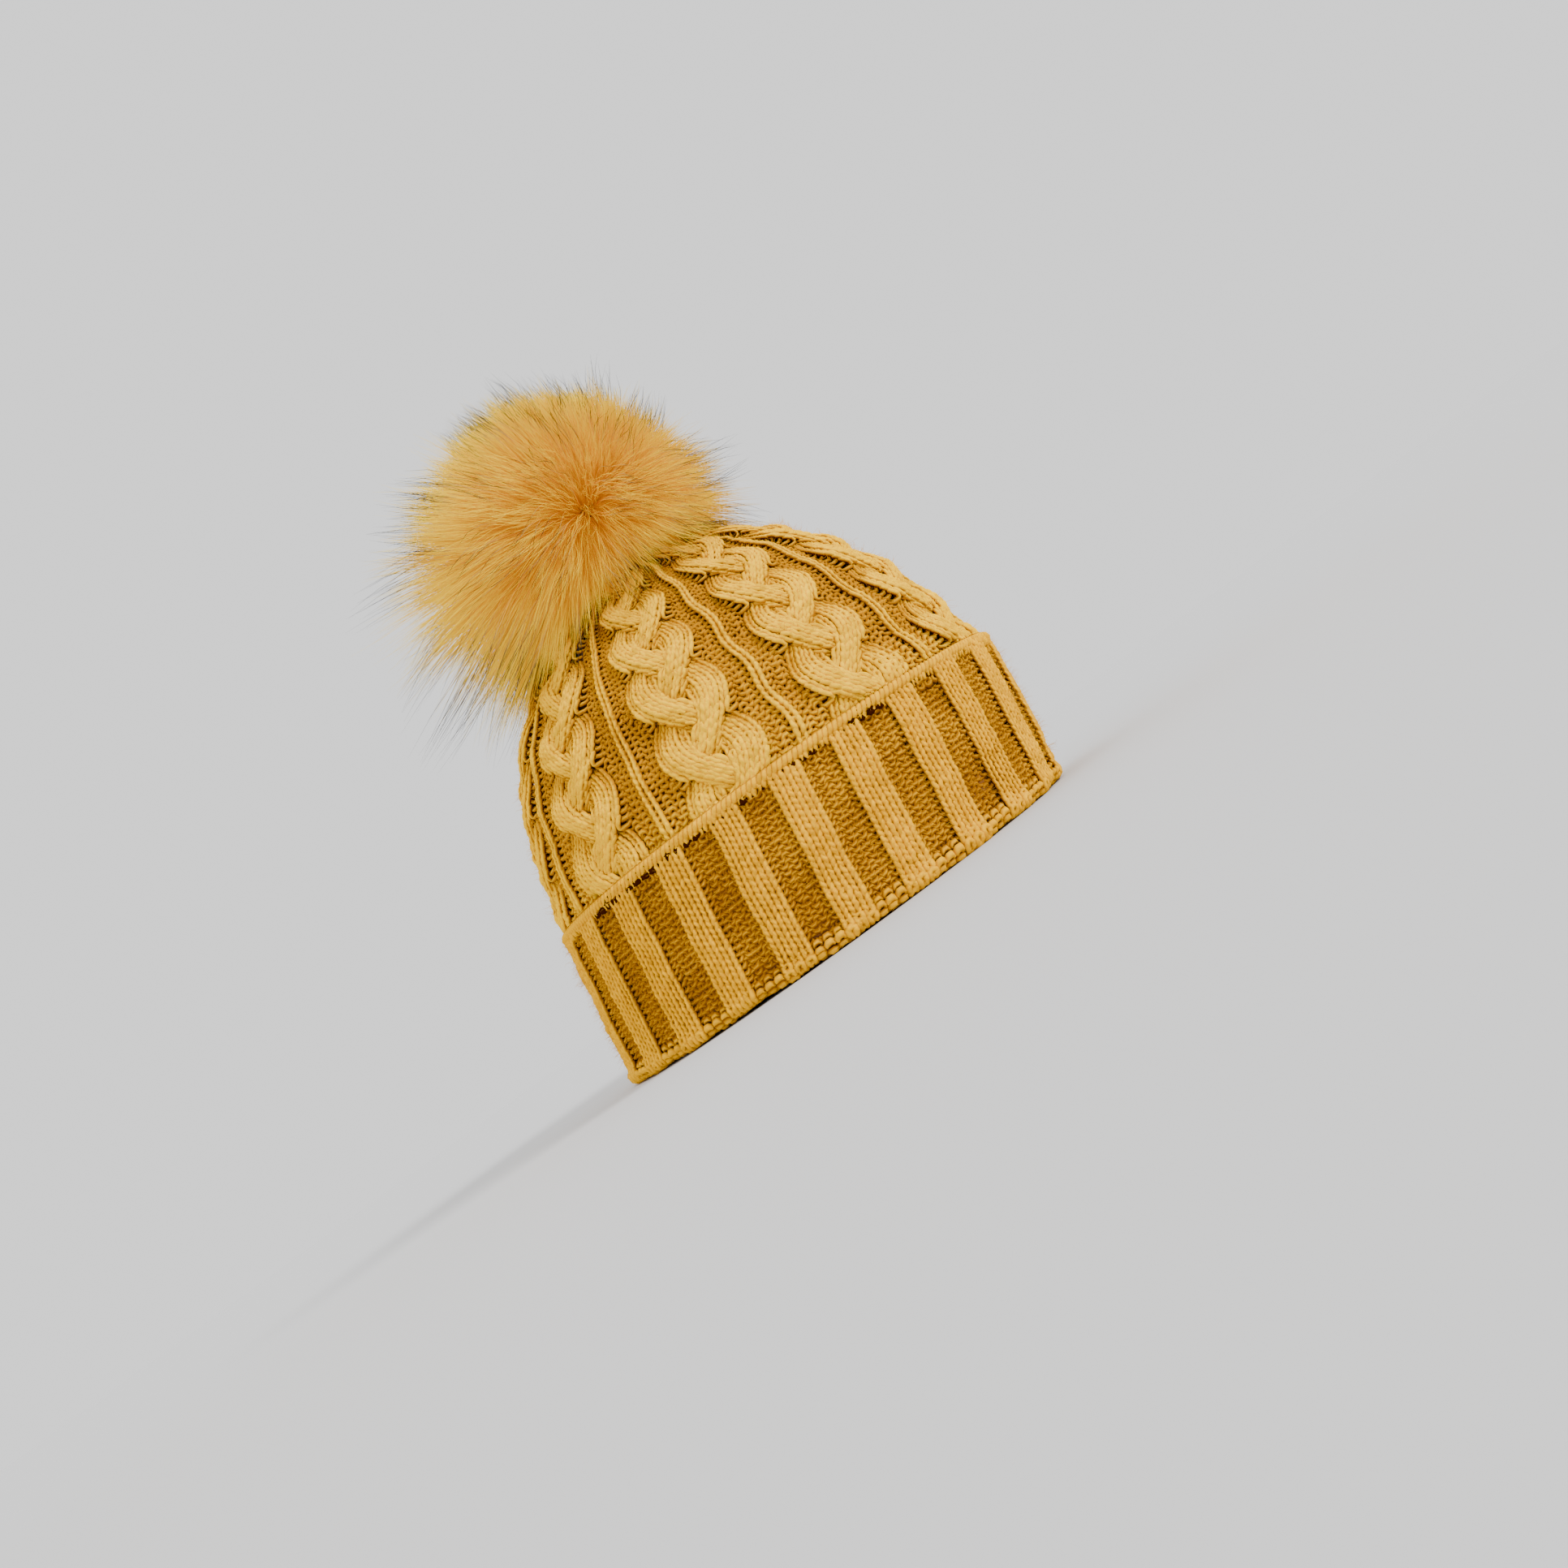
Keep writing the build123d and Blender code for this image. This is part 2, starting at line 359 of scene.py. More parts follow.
def yarn_material(name, painted_shade_colour, middle, painted_lit_colour):
    """Fuzzy two-ply wool with painted shade: coloured darker between the loops and on each yarn's flanks;
    uneven from stitch to stitch, with its twist.
    """
    material, nodes, links, shader = new_material(name, 1.0, specular=0.0)
    bake = nodes.new("ShaderNodeUVMap")
    bake.uv_map = BAKE_MAP
    parts = nodes.new("ShaderNodeSeparateXYZ")
    links.new(bake.outputs["UV"], parts.inputs["Vector"])
    # painted shade: the colour runs from dark to light with the yarn's painted depth
    by_painted_shade = ramp(nodes, [(0.20, painted_shade_colour), (0.54, middle), (0.93, painted_lit_colour)])
    links.new(parts.outputs["Y"], by_painted_shade.inputs["Fac"])
    by_tone = ramp(nodes, [(0.0, (0.72, 0.66, 0.55)), (0.5, (1, 1, 1)), (1.0, (1.16, 1.2, 1.2))], False)
    links.new(parts.outputs["X"], by_tone.inputs["Fac"])
    colour = mixed(nodes, links, "MULTIPLY", 0.75, by_painted_shade.outputs["Color"], by_tone.outputs["Color"])
    links.new(colour, shader.inputs["Base Color"])
    twist = nodes.new("ShaderNodeUVMap")
    twist.uv_map = TWIST_MAP
    plies = nodes.new("ShaderNodeTexWave")
    plies.bands_direction = "DIAGONAL"
    plies.inputs["Scale"].default_value = 0.6366
    plies.inputs["Distortion"].default_value = 0.6
    plies.inputs["Detail"].default_value = 1.0
    links.new(twist.outputs["UV"], plies.inputs["Vector"])
    stretch = nodes.new("ShaderNodeMapping")
    stretch.inputs["Scale"].default_value = (3.0, 14.0, 1.0)
    links.new(twist.outputs["UV"], stretch.inputs["Vector"])
    fibres = nodes.new("ShaderNodeTexNoise")
    fibres.inputs["Scale"].default_value = 2.2
    fibres.inputs["Detail"].default_value = 3.0
    links.new(stretch.outputs["Vector"], fibres.inputs["Vector"])
    height = mixed(nodes, links, "MIX", 0.45, plies.outputs["Color"], fibres.outputs["Color"])
    add_bump(nodes, links, shader, height, 0.7 * MM, 0.8)
    return material


def plain_fabric(name, colour_a, colour_b, scale, bump_mm, roughness=0.9, sheen=0.2):
    """Felt, backing, thread or filling: two tones of matted fibre; the backing's dark tones are painted
    shade.
    """
    material, nodes, links, shader = new_material(name, roughness, sheen, (1, 0.9, 0.7, 1), 0.15)
    place_node = nodes.new("ShaderNodeTexCoord")
    noise = nodes.new("ShaderNodeTexNoise")
    noise.inputs["Scale"].default_value = scale
    noise.inputs["Detail"].default_value = 6.0
    links.new(place_node.outputs["Object"], noise.inputs["Vector"])
    tones = ramp(nodes, [(0.3, colour_a), (0.7, colour_b)])
    links.new(noise.outputs["Fac"], tones.inputs["Fac"])
    links.new(tones.outputs["Color"], shader.inputs["Base Color"])
    add_bump(nodes, links, shader, noise.outputs["Fac"], bump_mm * MM)
    return material


def metal(name, colour, roughness):
    """Plated metal with fine turning marks."""
    material, nodes, links, shader = new_material(name, roughness, metallic=1.0, specular=0.5)
    shader.inputs["Base Color"].default_value = (*colour, 1)
    place_node = nodes.new("ShaderNodeTexCoord")
    noise = nodes.new("ShaderNodeTexNoise")
    noise.inputs["Scale"].default_value = 900.0
    links.new(place_node.outputs["Object"], noise.inputs["Vector"])
    add_bump(nodes, links, shader, noise.outputs["Fac"], 0.03 * MM, 0.5)
    return material


def fur_material():
    """Hair coloured along its length and glowing faintly in that colour as painted light; a kind above 0.86
    has a dark tip.
    """
    material, nodes, links, shader = new_material("fur_hair", 0.7, specular=0.05)
    bake = nodes.new("ShaderNodeUVMap")
    bake.uv_map = BAKE_MAP
    parts = nodes.new("ShaderNodeSeparateXYZ")
    links.new(bake.outputs["UV"], parts.inputs["Vector"])
    under = ramp(
        nodes,
        [
            (0.0, (0.84, 0.37, 0.0)),
            (0.40, (0.92, 0.49, 0.0)),
            (0.72, (0.96, 0.60, 0.0)),
            (1.0, (0.98, 0.69, 0.03)),
        ],
    )
    guard = ramp(
        nodes,
        [
            (0.0, (0.90, 0.32, 0.006)),
            (0.50, (1.0, 0.55, 0.03)),
            (0.66, (0.55, 0.34, 0.08)),
            (0.80, (0.025, 0.02, 0.018)),
        ],
    )
    for tones in (under, guard):
        links.new(parts.outputs["Y"], tones.inputs["Fac"])
    kind = ramp(nodes, [(0.0, (0, 0, 0)), (0.855, (0, 0, 0)), (0.86, (1, 1, 1))], False)
    links.new(parts.outputs["X"], kind.inputs["Fac"])
    tint = ramp(nodes, [(0.0, (0.78, 0.66, 0.5)), (0.45, (1, 1, 1)), (0.85, (1.0, 1.08, 1.4))], False)
    links.new(parts.outputs["X"], tint.inputs["Fac"])
    tinted = mixed(nodes, links, "MULTIPLY", 0.8, under.outputs["Color"], tint.outputs["Color"])
    colour = mixed(nodes, links, "MIX", kind.outputs["Color"], tinted, guard.outputs["Color"])
    links.new(colour, shader.inputs["Base Color"])
    # painted light: the hair glows in its own colour, standing in for light that passes through the hair and
    # comes out again all over the pile
    links.new(colour, shader.inputs["Emission Color"])
    shader.inputs["Emission Strength"].default_value = 0.17
    return material


crown_yarn = yarn_material("crown_yarn", (0.07, 0.012, 0.0), (0.52, 0.21, 0.0), (1.0, 0.56, 0.0))
# painted shade: the cuff's yarn is a darker copy of the crown's yarn
rib_yarn = yarn_material("rib_yarn", (0.04, 0.006, 0.0), (0.33, 0.120, 0.0), (0.92, 0.46, 0.0))
# painted shade: a dark brown that stands for the shade inside the knit, seen between and behind the stitches
shade_backing = plain_fabric("painted_shade_backing", (0.14, 0.040, 0.002), (0.26, 0.090, 0.004), 420.0, 0.8)
loose_yarn = plain_fabric("loose_yarn", (0.40, 0.16, 0.004), (0.70, 0.34, 0.010), 900.0, 0.4)
felt = plain_fabric("felt", (0.40, 0.22, 0.04), (0.52, 0.30, 0.06), 1500.0, 0.3)
thread = plain_fabric("thread", (0.55, 0.36, 0.12), (0.68, 0.48, 0.2), 2500.0, 0.1)
filling = plain_fabric("filling", (0.70, 0.68, 0.62), (0.85, 0.84, 0.80), 300.0, 1.0)
pelt_leather = plain_fabric("pelt_leather", (0.42, 0.28, 0.13), (0.58, 0.42, 0.22), 700.0, 0.3, 0.7, 0.05)
snap_metal = metal("snap_metal", (0.60, 0.60, 0.58), 0.35)
spring_steel = metal("spring_steel", (0.72, 0.72, 0.72), 0.15)
hair = fur_material()

for node_name, material in (
    ("back_seam_yarn", loose_yarn),
    ("gather_yarn", loose_yarn),
    ("gather_knot", loose_yarn),
    ("yarn_tail", loose_yarn),
    ("felt_washer", felt),
    ("snap_cap", snap_metal),
    ("snap_stud", snap_metal),
    ("snap_spring_ring", spring_steel),
    ("snap_socket", snap_metal),
    ("socket_rivet", snap_metal),
    ("pompom_base_patch", felt),
    ("pompom_pelt", pelt_leather),
    ("pompom_gather_thread", thread),
):
    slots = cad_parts[node_name].data.materials
    slots.clear()
    slots.append(material)

# ---------------------------------------------------------------- backing walls behind the stitches


def backing(name, outline, material, body, around=180):
    """A closed oval wall from a loop of (front radius, height) points, outside first."""
    line = np.array(outline)
    share = np.arange(around) / around
    angle = np.interp(share * oval_girth, oval_along, oval_angles)
    radius, height = line[:, 0][:, None], line[:, 1][:, None]
    middle = np.where(height < cuff_top, lean * (0.5 - height / cuff_top), crown_y)
    points = np.stack(
        [-side_ratio * radius * np.sin(angle), middle + radius * np.cos(angle), height + 0 * angle], -1
    )
    rows = len(line)
    index = np.arange(rows * around).reshape(rows, around)
    above = np.roll(index, -1, 0)
    faces = np.stack([index, np.roll(index, -1, 1), np.roll(above, -1, 1), above], -1).reshape(-1, 4)
    uv = np.stack([np.mod(faces.ravel(), around) / around, (faces.ravel() // around) / rows], -1)
    piece = make_mesh(name, points.reshape(-1, 3), faces, uv)
    piece.data.materials.append(material)
    if body:
        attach(piece, body)
    return piece


knit_wall = cuff_front - band_front - 0.4 * MM  # thickness of one layer
cuff_inside = cuff_front - knit_wall
band_inside = band_front - knit_wall
BEHIND = 3.0 * MM  # how far the backing lies behind the stitches' crests

# painted shade: these walls keep light from showing through the stitches and are coloured dark brown to stand
# for the shade inside the fabric
backing(
    "cuff_shade_backing",
    [
        (cuff_front - BEHIND, 2.8 * MM),
        (cuff_front - BEHIND, cuff_top - 1.9 * MM),
        (cuff_inside + 0.1 * MM, cuff_top - 1.9 * MM),
        (cuff_inside + 0.1 * MM, knit_wall - 0.2 * MM),
        (band_inside + 1.0 * MM, knit_wall - 0.2 * MM),
        (band_inside + 1.0 * MM, 2.8 * MM),
    ],
    shade_backing,
    "cuff",
)
backing(
    "band_shade_backing",
    [
        (band_front - 2.2 * MM, knit_wall + 0.6 * MM),
        (band_front - 2.2 * MM, cuff_top - 1.0 * MM),
        (band_inside, cuff_top - 1.0 * MM),
        (band_inside, knit_wall + 0.6 * MM),
    ],
    shade_backing,
    "hat",
)

crown_points = [
    (band_front, cuff_top - 0.012),
    (band_front, cuff_top),
    (band_front - 1.6 * MM, cuff_top + 0.016),
    (100.0 * MM, 107.0 * MM),
    (88.5 * MM, 132.0 * MM),
    (68.0 * MM, 156.5 * MM),
    (38.0 * MM, 178.5 * MM),
    (16.0 * MM, knit_top),
    (4.0 * MM, knit_top + 1.0 * MM),
]
crown_profile = Profile(crown_points)
BEHIND_CABLES = 5.2 * MM
backing_v = np.linspace(12 * MM, crown_profile.length - 11 * MM, 40)
backing_r, backing_z, backing_out, backing_rise = crown_profile.at(backing_v)
outer_line = np.stack([backing_r - BEHIND_CABLES * backing_out, backing_z - BEHIND_CABLES * backing_rise], -1)
inner_line = np.stack(
    [backing_r - (BEHIND_CABLES + MM) * backing_out, backing_z - (BEHIND_CABLES + MM) * backing_rise], -1
)[::-1]
crown_backing = backing(
    "crown_shade_backing", np.vstack([outer_line, inner_line]), shade_backing, None
)
BLEND_START = (0.0, crown_y, knit_top - 8 * MM)
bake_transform(crown_backing)

# ---------------------------------------------------------------- ribbed cuff and band

RIBS = 24
KNIT_WALES = 3  # in each rib, and as many purl wales between ribs
STITCHES = RIBS * KNIT_WALES * 2
RIB_ROW = 2.45 * MM
RIB_YARN = 1.10 * MM


def rib_centres(rows):
    """Where each stitch's middle is, evenly round, and whether it is knit."""
    share = (np.arange(STITCHES) + 0.5) / STITCHES
    inside = np.arange(STITCHES) % (2 * KNIT_WALES)
    return np.tile(share, (rows, 1)), np.tile(inside < KNIT_WALES, (rows, 1))


def wander(rows, stitches, size, reach=9):
    """A slow unevenness over the fabric."""
    noise = random.normal(0, 1, (rows, stitches))
    kernel = np.hanning(reach + 2)[1:-1]
    kernel /= np.linalg.norm(kernel)
    for axis in (0, 1):
        thrice = np.concatenate([noise] * 3, axis)
        noise = np.apply_along_axis(np.convolve, axis, thrice, kernel, "same")
        third = noise.shape[axis] // 3
        noise = np.take(noise, range(third, 2 * third), axis)
    return size * noise / (noise.std() + 1e-9)


def evened(values, reach=4):
    """Values along the rows, each averaged with those near it."""
    padded = np.pad(values, reach, mode="edge")
    kernel = np.hanning(2 * reach + 3)[1:-1]
    return np.convolve(padded, kernel / kernel.sum(), "valid")


cuff_profile = Profile(
    [
        (cuff_inside - 3.0 * MM, 2.0 * MM),
        (cuff_front - 1.9 * MM, 1.9 * MM),
        (cuff_front - 0.3 * MM, 3.3 * MM),
        (cuff_front, 8 * MM),
        (cuff_front + 0.4 * MM, cuff_top * 0.5),
        (cuff_front, cuff_top - 7 * MM),
        (cuff_front - 0.7 * MM, cuff_top - 2.4 * MM),
        (cuff_front - 2.2 * MM, cuff_top - 0.6 * MM),
        (cuff_inside + 0.6 * MM, cuff_top - 1.6 * MM),
        (cuff_inside + 0.3 * MM, cuff_top - 5 * MM),
    ]
)
cuff_rows = int(cuff_profile.length / RIB_ROW)
cuff_v = (np.arange(cuff_rows) + 0.5) * cuff_profile.length / cuff_rows
centres, is_knit = rib_centres(cuff_rows)
from_bottom = cuff_v[:, None]
from_top = cuff_profile.length - cuff_v[:, None]
edge = np.clip((13.5 * MM - from_top) / (4.5 * MM), 0, 1)
fold = np.clip((11.0 * MM - from_bottom) / (5.0 * MM), 0, 1)
face = np.where(is_knit, 1.0, -1.0)
face = face + (1.0 - face) * edge
face = face * (1 - fold) + fold * np.where(is_knit, 0.2, -1.0)
relief = np.where(is_knit, -0.7 * MM, -3.1 * MM)
relief = relief * (1 - edge) + edge * -1.2 * MM
relief = relief * (1 - fold) + fold * np.where(is_knit, 0.3 * MM, -0.3 * MM)
relief = relief + wander(cuff_rows, STITCHES, 0.28 * MM)
relief = relief + fold * wander(cuff_rows, STITCHES, 0.35 * MM, 4)
centres = centres + wander(cuff_rows, STITCHES, 0.05 / STITCHES)
cuff_courses = knit(
    cuff_profile,
    cuff_v,
    centres,
    relief,
    face,
    np.full(centres.shape, 1 / STITCHES),
    RIB_YARN * (1 + 0.30 * np.maximum(edge, fold) + np.zeros(centres.shape)),
    np.zeros(centres.shape),
)
cuff_pieces = in_rows("cuff_knit", cuff_courses, rib_yarn, "cuff", -4.2 * MM, 0.2 * MM, 9)
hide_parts("cuff")

# the bound-off edge: two yarns laid round each other along the cuff's top
ROPE_LAY = 1.3 * MM
ROPE_YARN = 1.35 * MM
ROPE_POINTS = STITCHES * 8
rope_front = cuff_front - 1.5 * MM
rope_profile = Profile([(rope_front, cuff_top - 5.2 * MM), (rope_front, cuff_top + 0.8 * MM)])
rope_share = np.tile(np.arange(ROPE_POINTS) / ROPE_POINTS, (2, 1))
rope_turn = TURN * STITCHES * rope_share + np.array([[0.0], [math.pi]])
rope_v = rope_profile.length / 2 + ROPE_LAY * np.sin(rope_turn)
rope_depth = ROPE_LAY * np.cos(rope_turn)
rope_path, rope_normal = place(rope_profile, rope_share, rope_v, rope_depth)
rope_tone = np.repeat(np.clip(0.5 + 0.17 * random.normal(0, 1, (2, STITCHES)), 0.02, 0.98), 8, axis=1)
# painted shade: the rope is coloured from its depth less 1.5 mm, darker where it lies deeper
rope = (rope_path, rope_normal, np.full(rope_share.shape, ROPE_YARN), rope_depth - 1.5 * MM, rope_tone)
in_rows("cuff_edge", rope, rib_yarn, "cuff", -4.2 * MM, 0.2 * MM, 2)

band_heights = (knit_wall + 1.5 * MM, cuff_top * 0.5, cuff_top)
band_profile = Profile([(band_front, height) for height in band_heights])
band_rows = int(band_profile.length / (2.7 * MM))
band_v = (np.arange(band_rows) + 0.5) * band_profile.length / band_rows
centres, is_knit = rib_centres(band_rows)
band_courses = knit(
    band_profile,
    band_v,
    centres,
    np.where(is_knit, -1.3 * MM, -1.9 * MM),
    np.where(is_knit, 1.0, -1.0),
    np.full(centres.shape, 1 / STITCHES),
    np.full(centres.shape, 1.1 * MM),
    np.zeros(centres.shape),
    steps=8,
)
band_pieces = in_rows("band_knit", band_courses, rib_yarn, "hat", -3.5 * MM, 0.0, 12, sides=4)
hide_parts("inner_band")

# ---------------------------------------------------------------- cabled crown

CABLES = 10
STRANDS = 3
STRAND_WALES = 4
CROWN_ROW = 2.75 * MM
PLAIT_PERIOD = 80 * MM  # in which a strand crosses to the far edge and back
GAP_WALES = 5  # purl, purl, knit, purl, purl
crown_start = 9 * MM
crown_end = crown_profile.length - 1.5 * MM
crown_rows = int((crown_end - crown_start) / CROWN_ROW)
crown_v = crown_start + (np.arange(crown_rows) + 0.5) * (crown_end - crown_start) / crown_rows
row_radius = crown_profile.at(crown_v)[0]
row_girth = row_radius * oval_girth
closeness = 1 - row_radius / band_front  # 0 at the cuff, 1 at the middle of the top
CABLE_SHARE = 0.64  # how much of a repeat the plait takes up at the cuff
cable_share = CABLE_SHARE + 0.26 * closeness
half_swing = 0.195 * cable_share / CABLE_SHARE
wale = 0.064 * cable_share / CABLE_SHARE
CABLE_DEEPEST = -3.0  # in mm: a strand that passes under, at its edge
CABLE_OVER = 1.7  # added or taken where a strand passes over or under
CABLE_DOME = 2.1  # added at a strand's middle
GAP_KNIT = -1.9
GAP_PURL = -4.1

cable_strands = []  # for each cable, each strand's middle, how far it lies over, and its slope
for cable in range(CABLES):
    phase = TURN * crown_v / PLAIT_PERIOD + 0.5 * math.sin(2.1 * cable)
    plait = []
    for strand in range(STRANDS):
        turn = phase + TURN * strand / STRANDS
        middle = cable_share / 2 + half_swing * np.sin(turn)
        slope = half_swing * np.cos(turn) * TURN / PLAIT_PERIOD
        plait.append((middle, np.sin(2 * turn), slope))
    cable_strands.append(plait)

columns = []
for cable, plait in enumerate(cable_strands):
    order = np.argsort(np.stack([s[0] for s in plait]), axis=0)
    for position in range(STRANDS):
        middle, over, slope = (np.choose(order[position], [s[i] for s in plait]) for i in range(3))
        for number in range(STRAND_WALES):
            offset = number - (STRAND_WALES - 1) / 2
            dome = 1 - (2 * offset / STRAND_WALES) ** 2
            columns.append(
                (
                    (cable + middle + offset * wale) / CABLES,
                    (CABLE_DEEPEST + CABLE_OVER * over + CABLE_DOME * dome) * MM,
                    np.ones(crown_rows),
                    slope / CABLES,
                )
            )
    # the purl gap and its one knit column wind between the strands of this cable and the next
    half_strand = STRAND_WALES / 2 * wale
    next_plait = cable_strands[(cable + 1) % CABLES]
    gap_start = evened(np.max([s[0] for s in plait], axis=0)) + half_strand
    gap_end = 1 + evened(np.min([s[0] for s in next_plait], axis=0)) - half_strand
    for number in range(GAP_WALES):
        middle = gap_start + (gap_end - gap_start) * (number + 0.5) / GAP_WALES
        is_middle = number == GAP_WALES // 2
        columns.append(
            (
                (cable + middle) / CABLES,
                np.full(crown_rows, (GAP_KNIT if is_middle else GAP_PURL) * MM),
                np.full(crown_rows, 1.0 if is_middle else -1.0),
                np.gradient(middle, crown_v) / CABLES,
            )
        )
centres, relief, face, slope = (np.stack([c[i] for c in columns], 1) for i in range(4))
crown_stitches = len(columns)
# the crown swells where it comes out of the cuff
swell = 1.8 * MM * np.exp(-(((crown_v - 15 * MM) / (9 * MM)) ** 2))
relief = relief + swell[:, None] + wander(crown_rows, crown_stitches, 0.25 * MM)
width = np.full(centres.shape, 1.0) * (wale / CABLES)[:, None]
row_yarn = np.clip(0.29 * (wale / CABLES * row_girth), 0.75 * MM, 1.12 * MM)
yarn_radius = row_yarn[:, None] * np.ones(centres.shape)
crown_courses = knit(crown_profile, crown_v, centres, relief, face, width, yarn_radius, slope)
ROWS_EACH = 8
crown_pieces = in_rows(
    "crown_knit", crown_courses, crown_yarn, None, -4.9 * MM, 0.3 * MM, ROWS_EACH
)
for number, piece in enumerate(crown_pieces):
    top_row = min((number + 1) * ROWS_EACH, crown_rows) - 1
    if crown_profile.at(crown_v[top_row])[1] < BLEND_START[2] - 3 * MM:
        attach(piece, "hat")
    else:
        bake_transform(piece)
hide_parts("crown_shell")
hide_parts("gathered_top")

# ---------------------------------------------------------------- loose fibres


def strands(name, roots, tips, bend, radius, material, body, slot, kinds, joints=4, sides=3):
    """Tapered hairs from roots to tips, bowed by bend, each closed at its root and drawn to a point."""
    t = np.linspace(0, 1, joints + 1)[None, :, None]
    path = roots[:, None] + (tips - roots)[:, None] * t + bend[:, None] * (t * (1 - t)) * 4
    return hair_mesh(name, path, radius, material, body, kinds, sides)


def hair_mesh(name, path, radius, material, body, kinds, sides=3):
    """Hairs along given paths: (hairs, points, 3)."""
    count, points_each = path.shape[:2]
    tangent = np.gradient(path, axis=1)
    tangent /= np.linalg.norm(tangent, axis=2, keepdims=True) + 1e-12
    helper = np.where(np.abs(tangent[..., 2:3]) > 0.9, [[[1.0, 0, 0]]], [[[0, 0, 1.0]]])
    across = np.cross(tangent, helper)
    across /= np.linalg.norm(across, axis=2, keepdims=True) + 1e-12
    other = np.cross(tangent, across)
    turn = TURN * np.arange(sides) / sides
    t = np.linspace(0, 1, points_each)
    taper = (1 - t**2.2) * 0.92 + 0.08
    cosine, sine = np.cos(turn)[:, None], np.sin(turn)[:, None]
    ring = cosine * across[:, :, None] + sine * other[:, :, None]
    size = radius[:, None, None, None] * taper[None, :, None, None]
    points = path[:, :, None] + size * ring
    index = np.arange(count * points_each * sides).reshape(count, points_each, sides)
    low, high = index[:, :-1], index[:, 1:]
    quads = np.stack([low, np.roll(low, -1, 2), np.roll(high, -1, 2), high], -1).reshape(-1, 4)
    triangles = np.concatenate([quads[:, [0, 1, 2]], quads[:, [0, 2, 3]]])
    caps = np.concatenate([index[:, 0, ::-1], index[:, -1]])
    faces = np.concatenate([triangles, caps])
    kind = np.broadcast_to(kinds[:, None, None], index.shape)
    place_along = np.broadcast_to(t[None, :, None], index.shape)
    uv = np.stack([kind, np.clip(place_along, 0.01, 0.99)], -1).reshape(-1, 2)
    piece = make_mesh(name, points.reshape(-1, 3), faces, uv[faces.ravel()])
    piece.data.materials.append(material)
    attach(piece, body)
    return piece


wool_fibre = even_material("wool_fibre", (0.78, 0.40, 0.01), 0.0)


FIBRES_EACH = 6000


def fuzz(name, courses, count, body, slot, length):
    """Short fibres that stand off the yarn."""
    path, normal = courses[0].reshape(-1, 3), courses[1].reshape(-1, 3)
    pick = random.choice(len(path), count)
    roots, outward = path[pick], normal[pick]
    sway = random.normal(0, 1, (count, 3))
    direction = 0.55 * outward + 0.75 * sway
    direction /= np.linalg.norm(direction, axis=1, keepdims=True)
    reach = length * random.uniform(0.35, 1.0, count)[:, None]
    tips = roots + direction * reach + 0.8 * MM * outward
    bend = random.normal(0, 0.16, (count, 3)) * reach
    radius = random.uniform(0.04, 0.08, count) * MM
    kinds = random.uniform(0, 1, count)
    for number, first in enumerate(range(0, count, FIBRES_EACH), 1):
        part = slice(first, first + FIBRES_EACH)
        shape = (roots[part], tips[part], bend[part], radius[part])
        strands(f"{name}_{number}", *shape, wool_fibre, body, slot, kinds[part])


outer_courses = [a[6:-3] for a in cuff_courses[:2]]
fuzz("cuff_fuzz", outer_courses, 15000, "cuff", "rib_knit", 5.5 * MM)
lower_crown = [a[2 : crown_rows - 10] for a in crown_courses[:2]]
fuzz("crown_fuzz", lower_crown, 18000, "hat", "cable_knit", 6.0 * MM)

# ---------------------------------------------------------------- pompom

pelt_middle = np.array([0, crown_y, (pelt_low[2] + pelt_high[2]) / 2])
pelt_radii = np.array([(pelt_high[0] - pelt_low[0]) / 2] * 2 + [(pelt_high[2] - pelt_low[2]) / 2 + 0.3 * MM])
FUR_HANGS_BACK = 11 * MM
FUR_LEAN = 1.5
FUR_MIDDLE_ABOVE_KNIT = 22 * MM
fur_half_width = (fur_high[0] - fur_low[0]) / 2 + 3 * MM
fur_middle = np.array([0, crown_y + FUR_HANGS_BACK, knit_top + FUR_MIDDLE_ABOVE_KNIT])
fur_radii = np.array([fur_half_width, fur_half_width, fur_high[2] - fur_middle[2]])
crown_r = crown_profile.curve[::-1, 0]
crown_h = crown_profile.curve[::-1, 1]


def spread_directions(count):
    """Directions spread evenly over a ball."""
    number = np.arange(count) + 0.5
    z = 1 - 2 * number / count
    angle = number * math.pi * (3 - math.sqrt(5))
    flat = np.sqrt(1 - z**2)
    return np.stack([flat * np.cos(angle), flat * np.sin(angle), z], -1)


def reach_to_envelope(root, direction):
    """How far it is from a root, along a direction, to the fur's outer form."""
    o = (root - fur_middle) / fur_radii
    d = direction / fur_radii
    a = (d * d).sum(1)
    b = (o * d).sum(1)
    c = (o * o).sum(1) - 1
    return (-b + np.sqrt(np.maximum(b * b - a * c, 0))) / a


def over_crown(path, clearance):
    """Lifts hair that would pass into the crown so that it lies on it."""
    oval = np.hypot(path[..., 0] / side_ratio, path[..., 1] - crown_y)
    floor = np.interp(oval, crown_r, crown_h) + clearance
    inside = (oval < crown_r[-1]) & (path[..., 2] < floor)
    lifted = path.copy()
    lifted[..., 2] = np.where(inside, floor, path[..., 2])
    return lifted


def combed(direction):
    """Which way hair points: up and away from the mouth on the sides, outwards where it is low."""
    upward = np.array([0, 0, 1.0]) - direction * direction[:, 2:3]
    heading = direction + FUR_LEAN * np.clip((direction[:, 2:3] + 0.6) / 0.7, 0, 1) * upward
    heading[:, 2] += 0.42 * np.clip(-direction[:, 2] - 0.3, 0, 1)
    return heading / np.linalg.norm(heading, axis=1, keepdims=True)


